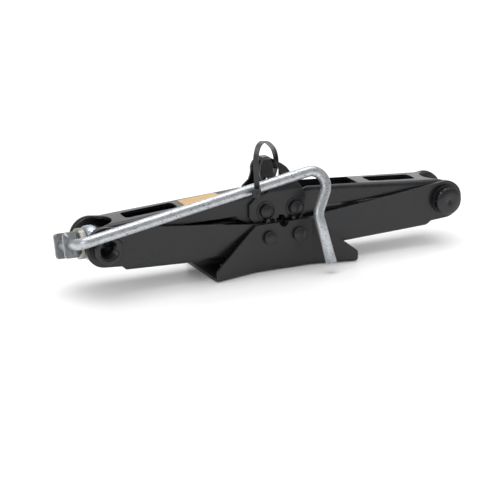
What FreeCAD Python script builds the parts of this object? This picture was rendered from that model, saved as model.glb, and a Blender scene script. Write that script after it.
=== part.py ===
import FreeCAD, Part
import math
import os

import Sketcher
from FreeCAD import Placement, Rotation, Vector

# Scissor car jack, folded and stowed. +X runs along the lead screw towards the nut, +Z is up, and the
# origin is the middle of the foot's underside. Millimetres and degrees.

SIZES = {
    # linkage
    "arm_length": 160.3,          # pivot to pivot, all four arms
    "pin_half": 15.1,             # half the spacing of the two pins in the foot, and in the saddle
    "base_pin_height": 32.6,      # foot pins above the ground
    "screw_radius": 6.0,
    "pin_radius": 5.0,
    "screw_pin_gap": 0.7,         # folded, between the screw and the pins above and below it
    # clearances
    "run_fit": 0.1,               # radial, every shaft in its hole
    "side_gap": 0.3,              # between sheets that slide past each other
    "seat_gap": 0.05,             # between faces that are clamped or stuck together
    "press_gap": 0.02,            # radial, rings and rivets that sit fast on the screw
    # pressed sheet
    "sheet": 2.7,
    "lower_half": 22.0,           # half width over a lower arm
    "saddle_end_half": 14.5,      # half width over an upper arm at the saddle
    "lower_lug": 18.3,            # radius of a lower arm's end round the trunnion
    "upper_lug": 17.9,
    "web_top": 18.6,              # upper arm's web above its centre line
    "web_top_start": 4.0,         # from the trunnion to where the web is level
    "bend_radius": 4.5,           # outside of the long bends
    # lower arm
    "lower_web_start": 20.0,      # from the trunnion to where the web begins
    "lower_web_deep": 22.7,       # web below the centre line at that end
    "lower_web_shallow": 18.5,    # and at the foot
    "lower_top_end": 12.5,
    "neck": 14.3,                 # from the foot or saddle pin back to where the full section ends
    # upper arm
    "upper_edge_rise": 9.8,       # folded, height of the flange's lower edge above the screw
    "upper_step_from_pin": 29.0,
    "upper_step_drop": 4.1,
    "upper_step_length": 3.0,
    "upper_edge_start": 28.0,     # from the trunnion to where that edge begins
    "taper_start": 25.0,          # from the trunnion to where the arm narrows
    "slot_start": 26.5,
    "slot_length": 51.0,
    "slot_width": 17.5,
    "slot_corner": 4.0,
    "window_start": 92.0,         # right upper arm, from the trunnion to where its web ends
    # gear teeth at the pins
    "teeth_per_turn": 12.0,
    "tooth_addendum": 1.9,
    "tooth_dedendum": 2.3,
    "tooth_backlash": 0.8,        # degrees, each flank
    "pressure_angle": 25.0,
    # foot
    "foot_length": 145.0,
    "foot_wall_top": 45.5,
    "foot_top_half": 28.5,
    "foot_tip_height": 10.5,
    "foot_flare": 10.0,
    "notch_radius": 4.8,
    "foot_window_start": 14.0,
    "foot_window_end": 52.0,
    "foot_window_half": 15.0,
    "foot_window_corner": 6.0,
    "foot_blend": 4.0,            # corners of the foot's walls
    # saddle
    "saddle_left": 32.0,
    "saddle_right": 26.4,
    "saddle_bottom_gap": 10.0,    # from the saddle pins down to the bottom edge
    "saddle_shoulder": 18.0,      # from the pins up to where the walls lean in
    "ridge_half": 11.0,
    "crown_half": 6.0,
    "ridge_height": 39.0,         # from the pins up to the ridge's upper bends
    "crown_height": 47.4,         # from the pins up to the top
    "saddle_corner": 5.0,         # cut off the walls' lower corners
    "ridge_wall": 7.0,            # upright wall under the ridge's bends
    "ridge_bend": 5.0,
    "shoulder_bend": 6.0,
    "peak_middle": -9.5,         # the crown's highest stretch, along X
    "peak_half": 2.0,
    "peak_rise": 1.0,
    "nose_left": -18.0,           # the crown's left overhang
    "nose_drop": 12.0,
    "waist_left": -18.0,          # the open end under the overhang
    "waist_drop": 24.5,
    "lobe_right": 16.4,           # the crown's right lobe
    "lobe_drop": 19.0,
    "sill_slot_left": -4.8,
    "sill_slot_width": 4.6,
    "sill_slot_depth": 14.0,
    # pin heads
    "pin_head_radius": 6.3,
    "pin_head_height": 3.5,
    "pin_head_chamfer": 0.6,
    # trunnions
    "trunnion_core": 12.5,
    "journal_radius": 11.0,
    "trunnion_head": 13.2,
    "trunnion_head_height": 5.8,
    "trunnion_chamfer": 1.0,
    "trunnion_bore": 8.5,
    "trunnion_bore_depth": 14.0,
    "trunnion_bore_step": 1.2,    # the bore's ledge
    "trunnion_bore_lip": 5.0,     # from the face down to the ledge
    "centre_dimple": 1.6,
    "washer_radius": 14.4,
    "washer_thickness": 2.7,
    "core_flat": 6.5,
    # screw end, measured to the left of the trunnion's axis
    "cup_face": 12.0,
    "cup_back": 1.0,
    "cup_radius": 15.5,
    "cup_chamfer": 1.5,
    "bearing_radius": 11.0,
    "bearing_thickness": 4.7,
    "ring_radius": 14.0,
    "ring_thickness": 7.2,
    "collar_radius": 9.0,
    "collar_thickness": 2.0,
    "screw_tail": 13.0,           # screw past the nut trunnion's axis
    "screw_chamfer": 1.5,
    "spigot_radius": 4.5,
    "spigot_chamfer": 0.8,
    # yoke
    "yoke_length": 14.0,
    "yoke_half": 13.5,
    "yoke_half_height": 11.5,
    "yoke_plate": 2.5,
    "yoke_cheek": 3.0,
    "yoke_bend": 3.5,
    "yoke_corner": 3.0,
    "yoke_hook_back": 7.0,        # from the yoke's tip back to the hook hole
    "yoke_roll": 17.0,            # the way the stowed crank turns the screw
    # crank
    "rod_radius": 5.0,
    "hook_reach": 40.0,           # from the screw's axis out to the rod
    "hook_past": 2.5,
    "hook_bend": 9.0,
    "crank_run": 258.7,
    "crank_run_angle": 9.3,
    "elbow_run": 50.0,
    "elbow_angle": -118.9,
    "elbow_bend": 14.4,
    "grip_run": 47.6,
    "grip_angle": -81.5,
    "grip_bend": 14.0,
    # cable tie
    "tie_width": 4.8,
    "tie_thickness": 1.4,
    "tie_heading": 51.1,          # of the loop's plane, from +X towards +Y
    "tie_x": -33.0,               # the loop's near end
    "tie_y": -36.5,
    "tie_lock_length": 6.4,
    "tie_lock_height": 8.0,
    "tie_lock_width": 7.4,
    "tie_tail": 7.0,
    # sticker
    "sticker_length": 38.0,
    "sticker_half": 9.5,
    "sticker_start": 84.0,
    "sticker_thickness": 0.25,
    "sticker_corner": 2.5,
}

DERIVED = {
    "rise": "=Sizes.screw_radius + Sizes.pin_radius + Sizes.screw_pin_gap",
    "reach": "=sqrt(Sizes.arm_length ^ 2 - rise ^ 2)",
    "trunnion_x": "=Sizes.pin_half + reach",
    "trunnion_z": "=Sizes.base_pin_height + rise",
    "saddle_pin_z": "=Sizes.base_pin_height + 2 * rise",
    "slope": "=rise / reach",
    "lower_inner": "=Sizes.lower_half - Sizes.sheet",
    "upper_half": "=lower_inner - Sizes.side_gap - Sizes.run_fit",
    "upper_inner": "=upper_half - Sizes.sheet",
    "saddle_end_inner": "=Sizes.saddle_end_half - Sizes.sheet",
    "saddle_inner": "=Sizes.saddle_end_half + Sizes.side_gap",
    "saddle_half": "=saddle_inner + Sizes.sheet",
    "foot_inner": "=Sizes.lower_half + Sizes.side_gap",
    "foot_half": "=foot_inner + Sizes.sheet",
    "foot_end": "=Sizes.foot_length / 2",
    "flare_slope": "=Sizes.foot_flare / (foot_end - Sizes.foot_top_half)",
    "root_radius": "=Sizes.pin_half - Sizes.tooth_dedendum",
    "pin_hole": "=Sizes.pin_radius + Sizes.run_fit",
    "journal_hole": "=Sizes.journal_radius + Sizes.run_fit",
    "screw_hole": "=Sizes.screw_radius + Sizes.run_fit",
    "washer_in": "=Sizes.lower_half + Sizes.side_gap",
    "washer_out": "=washer_in + Sizes.washer_thickness",
    "head_in": "=washer_out + Sizes.side_gap",
    "head_out": "=head_in + Sizes.trunnion_head_height",
    "core_half": "=upper_inner - Sizes.side_gap",
    "ring_face": "=Sizes.cup_face + Sizes.side_gap",
    "collar_face": "=ring_face + Sizes.ring_thickness",
    "yoke_face": "=collar_face + Sizes.collar_thickness",
    "yoke_tip": "=yoke_face + Sizes.yoke_length",
    "hook_x": "=yoke_tip - Sizes.yoke_hook_back",
}

doc = FreeCAD.newDocument("scissor_jack")


def make_sheet(label, cells):
    """A spreadsheet with one named value a row."""
    sheet = doc.addObject("Spreadsheet::Sheet", label)
    for row, (alias, value) in enumerate(cells.items(), start=1):
        sheet.set(f"A{row}", alias)
        sheet.set(f"B{row}", str(value))
        sheet.setAlias(f"B{row}", alias)
        doc.recompute()
    return sheet


sizes = make_sheet("Sizes", SIZES)
derived = make_sheet("Derived", DERIVED)
doc.recompute()


def read(name):
    """The value of a named size, for shapes that are worked out in code."""
    sheet = sizes if name in SIZES else derived
    value = getattr(sheet, name)
    return float(getattr(value, "Value", value))


def bind(text):
    """Turns plain size names into references to the two sheets."""
    words = []
    word = ""
    for char in str(text) + " ":
        if char.isalnum() or char == "_" or (char == "." and word):
            word += char
            continue
        if word in SIZES:
            word = "Sizes." + word
        elif word in DERIVED:
            word = "Derived." + word
        words.append(word + char)
        word = ""
    return "".join(words).strip()


def number(text):
    """The value of an expression in size names."""
    value = sizes.evalExpression(bind(text))
    return float(getattr(value, "Value", value))


# ---------------------------------------------------------------- sketches and features

def new_body(label, x="0", y="0", z="0", axis=(0, 1, 0), angle="0"):
    """A body whose place is bound to the sheets."""
    body = doc.addObject("PartDesign::Body", label)
    body.Label = label
    body.Placement = Placement(Vector(0, 0, 0), Rotation(Vector(*axis), 1.0))
    body.setExpression("Placement.Base.x", bind(x))
    body.setExpression("Placement.Base.y", bind(y))
    body.setExpression("Placement.Base.z", bind(z))
    body.setExpression("Placement.Rotation.Angle", bind(angle))
    return body


def origin_plane(body, role):
    """One of the body's own origin planes."""
    return next(f for f in body.Origin.OriginFeatures if f.Role == role + "_Plane")


def polygon(*points):
    return ("polygon", points)


def circle(x, y, radius):
    return ("circle", (x, y, radius))


def loose(points):
    """A closed outline whose corners are worked out in code."""
    return ("loose", points)


def place(sketch, geometry, corner, x, y):
    """Ties one corner to the sketch's origin by two bound distances."""
    for kind, text in (("DistanceX", x), ("DistanceY", y)):
        index = sketch.addConstraint(
            Sketcher.Constraint(kind, -1, 1, geometry, corner, number(text)))
        sketch.setExpression(f"Constraints[{index}]", bind(text))


def draw(sketch, shape):
    """Draws one outline and ties it down."""
    kind, data = shape
    if kind == "circle":
        x, y, radius = data
        centre = Vector(number(x), number(y), 0)
        ring = sketch.addGeometry(Part.Circle(centre, Vector(0, 0, 1), number(radius)))
        place(sketch, ring, 3, x, y)
        index = sketch.addConstraint(Sketcher.Constraint("Radius", ring, number(radius)))
        sketch.setExpression(f"Constraints[{index}]", bind(radius))
        return
    bound = kind == "polygon"
    corners = [Vector(number(x), number(y), 0) for x, y in data] if bound else data
    first = len(sketch.Geometry)
    count = len(corners)
    for i, corner in enumerate(corners):
        sketch.addGeometry(Part.LineSegment(corner, corners[(i + 1) % count]))
    for i in range(count):
        after = first + (i + 1) % count
        sketch.addConstraint(Sketcher.Constraint("Coincident", first + i, 2, after, 1))
    for i in range(count) if bound else ():
        place(sketch, first + i, 1, *data[i])


def sketch_on(body, plane, name, shapes, lift="0"):
    """A sketch on one of the body's origin planes, lifted along its normal."""
    sketch = body.newObject("Sketcher::SketchObject", name)
    sketch.AttachmentSupport = [(origin_plane(body, plane), "")]
    sketch.MapMode = "FlatFace"
    sketch.setExpression("AttachmentOffset.Base.z", bind(lift))
    for shape in shapes:
        draw(sketch, shape)
    doc.recompute()
    return sketch


def feature(body, kind, name, sketch, length, flip):
    """Pads or pockets a sketch: both ways when flip is None, by a length or right through."""
    step = body.newObject("PartDesign::" + kind, name)
    step.Profile = sketch
    if length is None:
        step.Type = "ThroughAll"
    else:
        step.Type = "Length"
        step.setExpression("Length", bind(length))
    if flip is None:
        step.SideType = "Symmetric"
    else:
        step.Reversed = flip
    sketch.Visibility = False
    doc.recompute()
    return step


def pad(body, plane, name, shapes, length, lift="0", flip=None):
    sketch = sketch_on(body, plane, name + "_sketch", shapes, lift)
    return feature(body, "Pad", name, sketch, length, flip)


def pocket(body, plane, name, shapes, length=None, lift="0", flip=None):
    before = body.Shape.Volume
    sketch = sketch_on(body, plane, name + "_sketch", shapes, lift)
    step = feature(body, "Pocket", name, sketch, length, flip)
    if not body.Shape.Volume < before - 1e-6:
        raise ValueError(f"{body.Label}: {name} cuts nothing")
    return step


def revolve(body, plane, name, shapes, axis):
    """A full turn of a profile about the sketch's H_Axis or V_Axis."""
    sketch = sketch_on(body, plane, name + "_sketch", shapes)
    step = body.newObject("PartDesign::Revolution", name)
    step.Profile = sketch
    step.ReferenceAxis = (sketch, [axis])
    step.Angle = 360
    sketch.Visibility = False
    doc.recompute()
    return step


def blend_edges(body, name, radius, wanted, kind="Fillet"):
    """Rounds or chamfers the edges whose two ends both satisfy wanted."""
    doc.recompute()
    base = body.Tip
    picked = []
    for i, edge in enumerate(base.Shape.Edges, start=1):
        if len(edge.Vertexes) == 2 and wanted(edge.Vertexes[0].Point, edge.Vertexes[1].Point):
            picked.append(f"Edge{i}")
    if not picked:
        raise ValueError(f"{body.Label}: {name} finds no edge")
    step = body.newObject("PartDesign::" + kind, name)
    step.Base = (base, picked)
    step.setExpression("Radius" if kind == "Fillet" else "Size", bind(radius))
    doc.recompute()
    return step


def near(a, b, slack=0.02):
    return abs(a - b) < slack


def along_y_at(x, z, slack=0.3):
    """Picks edges that run along Y through one place of the side view."""
    def wanted(p, q):
        here = abs(p.x - x) < slack and abs(p.z - z) < slack
        return here and near(p.x, q.x) and near(p.z, q.z) and not near(p.y, q.y)
    return wanted


def any_of(*tests):
    return lambda p, q: any(test(p, q) for test in tests)


# ---------------------------------------------------------------- gear teeth

def tooth_outline(pivot_x, centre_angle, side, up):
    """One involute tooth on a sheet's edge, round the pin at pivot_x on the X axis."""
    pitch = read("pin_half")
    root = read("root_radius") - 1.0
    tip = pitch + read("tooth_addendum")
    pressure = math.radians(read("pressure_angle"))
    base = pitch * math.cos(pressure)
    half = math.radians(90.0 / read("teeth_per_turn") - read("tooth_backlash"))

    def half_angle(radius):
        if radius <= base:
            return half + math.tan(pressure) - pressure
        here = math.acos(base / radius)
        return half + (math.tan(pressure) - pressure) - (math.tan(here) - here)

    radii = [root, base, (base + pitch) / 2, pitch, (pitch + tip) / 2, tip]
    flank = [(radius, -half_angle(radius)) for radius in radii]
    flank += [(radius, -angle) for radius, angle in reversed(flank)]
    centre = math.radians(centre_angle)
    corners = []
    for radius, angle in flank:
        x = side * (pivot_x + radius * math.cos(centre + angle))
        z = up * radius * math.sin(centre + angle)
        corners.append(Vector(x, z, 0))
    return loose(corners)


def add_teeth(body, side, up, offset, width):
    """A sector of teeth that stays in mesh from folded to fully raised."""
    fold = math.degrees(math.asin(read("rise") / read("arm_length")))
    step = 360.0 / read("teeth_per_turn")
    length = read("arm_length")
    for k in range(-1, 4):
        angle = fold + step * (k + offset)
        pad(body, "XZ", f"tooth_{k + 2}", [tooth_outline(length, angle, side, up)], width)


# ---------------------------------------------------------------- foot

def make_foot():
    body = new_body("base_foot")
    end, top, top_half = "foot_end", "foot_wall_top", "foot_top_half"
    pad(body, "XZ", "blank", [polygon(
        ("-foot_end", "0"), (end, "0"), (end, "foot_tip_height"), (top_half, top),
        ("-foot_top_half", top), ("-foot_end", "foot_tip_height"))],
        "2 * (foot_half + foot_flare + 2)")
    past = "(foot_end + 2)"
    for sign, name in ((-1, "near"), (1, "far")):
        middle = f"{sign} * foot_half"
        flared = f"{sign} * (foot_half + flare_slope * (foot_end + 2 - foot_top_half))"
        beyond = f"{sign} * (foot_half + foot_flare + 9)"
        pocket(body, "XY", f"trim_{name}", [polygon(
            ("-" + past, flared), ("-foot_top_half", middle), (top_half, middle), (past, flared),
            (past, beyond), ("-" + past, beyond))], flip=True)
    blend_edges(body, "outer_bends", "bend_radius",
                lambda p, q: near(p.z, 0) and near(q.z, 0) and not near(p.x, q.x))
    inner_end = "(foot_inner + flare_slope * (foot_end + 2 - foot_top_half))"
    pocket(body, "XY", "channel", [polygon(
        ("-" + past, "-" + inner_end), ("-foot_top_half", "-foot_inner"),
        (top_half, "-foot_inner"), (past, "-" + inner_end), (past, inner_end),
        (top_half, "foot_inner"), ("-foot_top_half", "foot_inner"), ("-" + past, inner_end))],
        lift="sheet", flip=True)
    for sign in ("", "-"):
        pocket(body, "XY", "window" + ("_left" if sign else "_right"), [polygon(
            (sign + "foot_window_start", "-foot_window_half"),
            (sign + "foot_window_end", "-foot_window_half"),
            (sign + "foot_window_end", "foot_window_half"),
            (sign + "foot_window_start", "foot_window_half"))])
    pocket(body, "XZ", "pin_holes", [
        circle("-pin_half", "base_pin_height", "pin_hole"),
        circle("pin_half", "base_pin_height", "pin_hole")])
    pocket(body, "XZ", "notch", [circle("0", "foot_wall_top", "notch_radius")])
    x, tip = read("foot_end"), read("foot_tip_height")
    blend_edges(body, "tips", "foot_blend", any_of(along_y_at(x, tip), along_y_at(-x, tip)))
    shoulder, height = read("foot_top_half"), read("foot_wall_top")
    blend_edges(body, "shoulders", "foot_blend",
                any_of(along_y_at(shoulder, height), along_y_at(-shoulder, height)))
    start, stop, half = read("foot_window_start"), read("foot_window_end"), read("foot_window_half")
    blend_edges(body, "window_corners", "foot_window_corner", lambda p, q: (
        near(p.x, q.x) and near(p.y, q.y) and near(abs(p.y), half)
        and (near(abs(p.x), start) or near(abs(p.x), stop))))
    return body


# ---------------------------------------------------------------- arms

def mirrored(side, *points):
    """The same outline for an arm that points along +X or -X."""
    sign = "" if side > 0 else "-1 * "
    return polygon(*[(f"{sign}({x})", y) for x, y in points])


def make_lower_arm(label, side):
    """A channel with its web underneath, from the trunnion at its origin to a foot pin."""
    angle = "asin(rise / arm_length)" if side > 0 else "-asin(rise / arm_length)"
    body = new_body(label, x=f"{-side} * trunnion_x", z="trunnion_z", angle=angle)
    width = "2 * lower_half"
    neck_x = "arm_length - neck"
    pad(body, "XZ", "blank", [mirrored(
        side, ("0", "lower_lug"), (neck_x, "lower_top_end"), ("arm_length", "root_radius"),
        ("arm_length", "-root_radius"), (neck_x, "-lower_web_shallow"),
        ("lower_web_start + 2", "-lower_web_deep"), ("lower_web_start - 3", "-lower_lug"),
        ("0", "-lower_lug"))], width)
    pad(body, "XZ", "trunnion_lug", [circle("0", "0", "lower_lug")], width)
    pad(body, "XZ", "pin_lug", [circle(f"{side} * arm_length", "0", "root_radius")], width)
    add_teeth(body, side, 1, 0.0 if side > 0 else 0.5, width)
    half = read("lower_half")
    deep, shallow = read("lower_web_deep"), read("lower_web_shallow")
    blend_edges(body, "long_bends", "bend_radius", lambda p, q: (
        near(abs(p.y), half) and near(p.y, q.y)
        and {round(p.z, 3), round(q.z, 3)} == {round(-deep, 3), round(-shallow, 3)}))
    far = "arm_length + 60"
    pocket(body, "XZ", "channel", [mirrored(
        side, ("-60", "60"), ("-60", "-60"), ("lower_web_start", "-60"),
        ("lower_web_start", "sheet - lower_web_deep"), (neck_x, "sheet - lower_web_shallow"),
        (neck_x, "-60"), (far, "-60"), (far, "60"))], length="2 * lower_inner")
    pocket(body, "XZ", "trunnion_hole", [circle("0", "0", "journal_hole")])
    pocket(body, "XZ", "pin_hole", [circle(f"{side} * arm_length", "0", "pin_hole")])
    return body


def make_upper_arm(label, side, web_end):
    """A channel with its web on top, from the trunnion at its origin to a saddle pin."""
    angle = "-asin(rise / arm_length)" if side > 0 else "asin(rise / arm_length)"
    body = new_body(label, x=f"{-side} * trunnion_x", z="trunnion_z", angle=angle)
    width = "2 * upper_half"
    neck_x = "arm_length - neck"
    step_x = "(arm_length - upper_step_from_pin)"
    edge_at = "(upper_edge_rise - slope * {})"
    pad(body, "XZ", "blank", [mirrored(
        side, ("web_top_start - 3", "upper_lug"), ("web_top_start", "web_top"), (neck_x, "web_top"),
        ("arm_length", "root_radius"), ("arm_length", "-root_radius"),
        (step_x + " + 4 * upper_step_length", "upper_step_length - root_radius"),
        (step_x + " + upper_step_length", edge_at.format(step_x) + " - upper_step_drop"),
        (step_x, edge_at.format(step_x)), ("upper_edge_start", edge_at.format("upper_edge_start")),
        ("upper_lug - 4", "-upper_lug / 2"), ("0", "-upper_lug / 2"))], width)
    pad(body, "XZ", "trunnion_lug", [circle("0", "0", "upper_lug")], width)
    pad(body, "XZ", "pin_lug", [circle(f"{side} * arm_length", "0", "root_radius")], width)
    add_teeth(body, side, -1, 0.0 if side > 0 else 0.5, width)
    far = "(arm_length + 60)"
    for sign, name in ((-1, "near"), (1, "far")):
        pocket(body, "XY", f"taper_{name}", [mirrored(
            side, ("taper_start", f"{sign} * upper_half"), (step_x, f"{sign} * saddle_end_half"),
            (far, f"{sign} * saddle_end_half"), (far, f"{sign} * (upper_half + 20)"),
            ("taper_start", f"{sign} * (upper_half + 20)"))])
    top = read("web_top")
    taper = read("saddle_end_half")
    blend_edges(body, "long_bends", "bend_radius", lambda p, q: (
        near(p.z, top) and near(q.z, top) and p.y * q.y > 0 and not near(p.x, q.x)
        and min(abs(p.y), abs(q.y)) > taper - 0.1))
    pocket(body, "XY", "channel", [mirrored(
        side, ("-60", "-upper_inner"), ("taper_start", "-upper_inner"),
        (step_x, "-saddle_end_inner"), (far, "-saddle_end_inner"),
        (far, "saddle_end_inner"), (step_x, "saddle_end_inner"),
        ("taper_start", "upper_inner"), ("-60", "upper_inner"))],
        lift="web_top - sheet", flip=False)
    pocket(body, "XY", "web_cutback", [circle(f"{side} * -1.2", "0", "upper_inner")], flip=True)
    pocket(body, "XY", "web_end", [mirrored(
        side, (web_end, "-saddle_end_inner"), (far, "-saddle_end_inner"),
        (far, "saddle_end_inner"), (web_end, "saddle_end_inner"))], flip=True)
    pocket(body, "XY", "web_slot", [mirrored(
        side, ("slot_start", "-slot_width / 2"), ("slot_start + slot_length", "-slot_width / 2"),
        ("slot_start + slot_length", "slot_width / 2"), ("slot_start", "slot_width / 2"))],
        flip=True)
    slot_half = read("slot_width") / 2
    blend_edges(body, "slot_corners", "slot_corner", lambda p, q: (
        near(p.x, q.x) and near(p.y, q.y) and near(abs(p.y), slot_half)
        and p.z > top - 5 and q.z > top - 5))
    pocket(body, "XZ", "trunnion_hole", [circle("0", "0", "journal_hole")])
    pocket(body, "XZ", "pin_hole", [circle(f"{side} * arm_length", "0", "pin_hole")])
    return body


# ---------------------------------------------------------------- pins

def make_pin(label, x, z, wall_half):
    """A headed pin along Y, its heads against the outside of a pair of walls."""
    body = new_body(label, x=x, z=z)
    seat = f"({wall_half} + seat_gap)"
    tip = f"({wall_half} + seat_gap + pin_head_height)"
    revolve(body, "YZ", "turned", [polygon(
        ("-" + tip, "0"), ("-" + tip, "pin_head_radius - pin_head_chamfer"),
        (f"-{tip} + pin_head_chamfer", "pin_head_radius"), ("-" + seat, "pin_head_radius"),
        ("-" + seat, "pin_radius"), (seat, "pin_radius"), (seat, "pin_head_radius"),
        (f"{tip} - pin_head_chamfer", "pin_head_radius"),
        (tip, "pin_head_radius - pin_head_chamfer"), (tip, "0"))],
        "H_Axis")
    return body


# ---------------------------------------------------------------- saddle

def make_saddle():
    """A folded sheet: two walls for the pins that lean in to a crowned ridge, slotted for a sill."""
    body = new_body("saddle", z="saddle_pin_z")
    bottom = "-saddle_bottom_gap"
    outer = [("saddle_half", bottom), ("saddle_half", "saddle_shoulder"),
             ("ridge_half", "ridge_height - ridge_wall"), ("ridge_half", "ridge_height"),
             ("crown_half", "crown_height")]
    inner = [("saddle_inner", bottom), ("saddle_inner", "saddle_shoulder + sheet / 3"),
             ("ridge_half - sheet", "ridge_height - ridge_wall + sheet / 3"),
             ("ridge_half - sheet", "ridge_height - sheet / 3"),
             ("crown_half - sheet / 2", "crown_height - sheet")]

    def flipped(points):
        return [("-1 * (" + y + ")", z) for y, z in reversed(points)]

    pad(body, "YZ", "folded_sheet", [polygon(*(outer + flipped(outer) + list(reversed(
        flipped(inner))) + list(reversed(inner))))], "2 * (saddle_left + 10)")
    crown, crown_z = read("crown_half"), read("crown_height")
    ridge, ridge_z = read("ridge_half"), read("ridge_height")
    shoulder, wall = read("saddle_shoulder"), read("saddle_half")
    blend_edges(body, "crown_bends", "ridge_bend", lambda p, q: (
        near(p.z, crown_z) and near(q.z, crown_z) and near(abs(p.y), crown) and near(p.y, q.y)))
    blend_edges(body, "ridge_bends", "ridge_bend", lambda p, q: (
        near(p.z, ridge_z) and near(q.z, ridge_z) and near(abs(p.y), ridge) and near(p.y, q.y)))
    blend_edges(body, "shoulder_bends", "shoulder_bend", lambda p, q: (
        near(p.z, shoulder) and near(q.z, shoulder) and near(abs(p.y), wall) and near(p.y, q.y)))
    side_view = polygon(
        ("-saddle_left", "saddle_corner - saddle_bottom_gap"),
        ("saddle_corner - saddle_left", bottom), ("saddle_right - saddle_corner", bottom),
        ("saddle_right", "saddle_corner - saddle_bottom_gap"),
        ("saddle_right", "saddle_shoulder - 1.6 * saddle_corner"),
        ("lobe_right", "crown_height - lobe_drop"),
        ("0.55 * lobe_right", "crown_height - 0.5 * lobe_drop"),
        ("0.3 * lobe_right", "crown_height - 0.33 * lobe_drop"),
        ("sill_slot_left + 1", "crown_height - peak_rise"),
        ("peak_middle + peak_half", "crown_height + peak_rise"),
        ("peak_middle - peak_half", "crown_height + peak_rise"),
        ("nose_left + 1.5", "crown_height - nose_drop / 2"),
        ("nose_left", "crown_height - nose_drop"),
        ("waist_left + 0.5", "crown_height - 0.8 * waist_drop"),
        ("waist_left", "crown_height - waist_drop"),
        ("waist_left - saddle_corner", "saddle_shoulder - 1"),
        ("waist_left - 1.4 * saddle_corner", "saddle_shoulder - saddle_corner"),
        ("-saddle_left", "saddle_shoulder - 2.2 * saddle_corner"))
    frame = polygon(("-90", "-60"), ("90", "-60"), ("90", "90"), ("-90", "90"))
    pocket(body, "XZ", "side_trim", [frame, side_view])
    pocket(body, "XZ", "pin_holes", [
        circle("-pin_half", "0", "pin_hole"), circle("pin_half", "0", "pin_hole")])
    pocket(body, "XZ", "notch", [circle("0", bottom, "notch_radius")])
    pocket(body, "XZ", "sill_slot", [polygon(
        ("sill_slot_left", "crown_height + 9"),
        ("sill_slot_left", "crown_height - sill_slot_depth"),
        ("sill_slot_left + sill_slot_width", "crown_height - sill_slot_depth"),
        ("sill_slot_left + sill_slot_width", "crown_height + 9"))])
    pocket(body, "XZ", "near_mouth", [polygon(
        ("-60", "saddle_shoulder - 3.5"), ("waist_left + 1", "saddle_shoulder - 3"),
        ("waist_left + 9", "saddle_shoulder + 2"),
        ("waist_left + 9", "crown_height - 0.8 * waist_drop"),
        ("waist_left + 4", "crown_height - 0.65 * waist_drop"),
        ("waist_left + 1.5", "crown_height - 0.77 * waist_drop"),
        ("-60", "crown_height - 0.77 * waist_drop"))], flip=True)
    pocket(body, "XZ", "near_gore", [polygon(
        ("-0.5 * lobe_right", "crown_height - waist_drop"),
        ("0.3 * lobe_right", "crown_height - waist_drop"),
        ("0.25 * lobe_right", "crown_height - 0.85 * lobe_drop"),
        ("0", "crown_height - 0.42 * lobe_drop"))], flip=True)
    pocket(body, "XZ", "far_gore", [polygon(
        ("0", "crown_height - 1.15 * waist_drop"),
        ("0.9 * lobe_right", "crown_height - 1.15 * waist_drop"),
        ("0.73 * lobe_right", "crown_height - 0.85 * lobe_drop"),
        ("0.12 * lobe_right", "crown_height - 0.8 * lobe_drop"))], flip=False)
    return body


# ---------------------------------------------------------------- trunnions

def make_trunnion(label, side, hollow):
    """A cross shaft along Y: a core between the arms, a journal and a head each side."""
    body = new_body(label, x=f"{side} * trunnion_x", z="trunnion_z")
    half = [("head_out", "trunnion_head - trunnion_chamfer"),
            ("head_out - trunnion_chamfer", "trunnion_head"),
            ("head_in", "trunnion_head"), ("head_in", "journal_radius"),
            ("core_half", "journal_radius"), ("core_half", "trunnion_core")]
    if hollow:
        floor = "(head_out - trunnion_bore_depth)"
        ledge = "(head_out - trunnion_bore_lip)"
        half = [(floor, "0"), (floor, "trunnion_bore - trunnion_bore_step"),
                (ledge, "trunnion_bore - trunnion_bore_step"), (ledge, "trunnion_bore"),
                ("head_out", "trunnion_bore")] + half
    else:
        half = [("(head_out - 0.75 * centre_dimple)", "0"), ("head_out", "centre_dimple")] + half
    other = [("-1 * (" + y + ")", r) for y, r in reversed(half)]
    revolve(body, "YZ", "turned", [polygon(*(half + other))], "H_Axis")
    pocket(body, "YZ", "screw_bore", [circle("0", "0", "screw_hole")])
    if hollow:
        pocket(body, "XZ", "core_flat", [polygon(
            ("-core_flat", "-30"), ("-30", "-30"), ("-30", "30"), ("-core_flat", "30"))],
            length="2 * core_half")
    return body


def make_washers(label, side):
    """The two washers under a trunnion's heads."""
    body = new_body(label, x=f"{side} * trunnion_x", z="trunnion_z")
    body.AllowCompound = True
    pad(body, "XZ", "blank", [circle("0", "0", "washer_radius"),
                              circle("0", "0", "journal_hole")], "2 * washer_out")
    pocket(body, "XZ", "middle", [circle("0", "0", "washer_radius + 2")], length="2 * washer_in")
    return body


# ---------------------------------------------------------------- screw and its end

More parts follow.
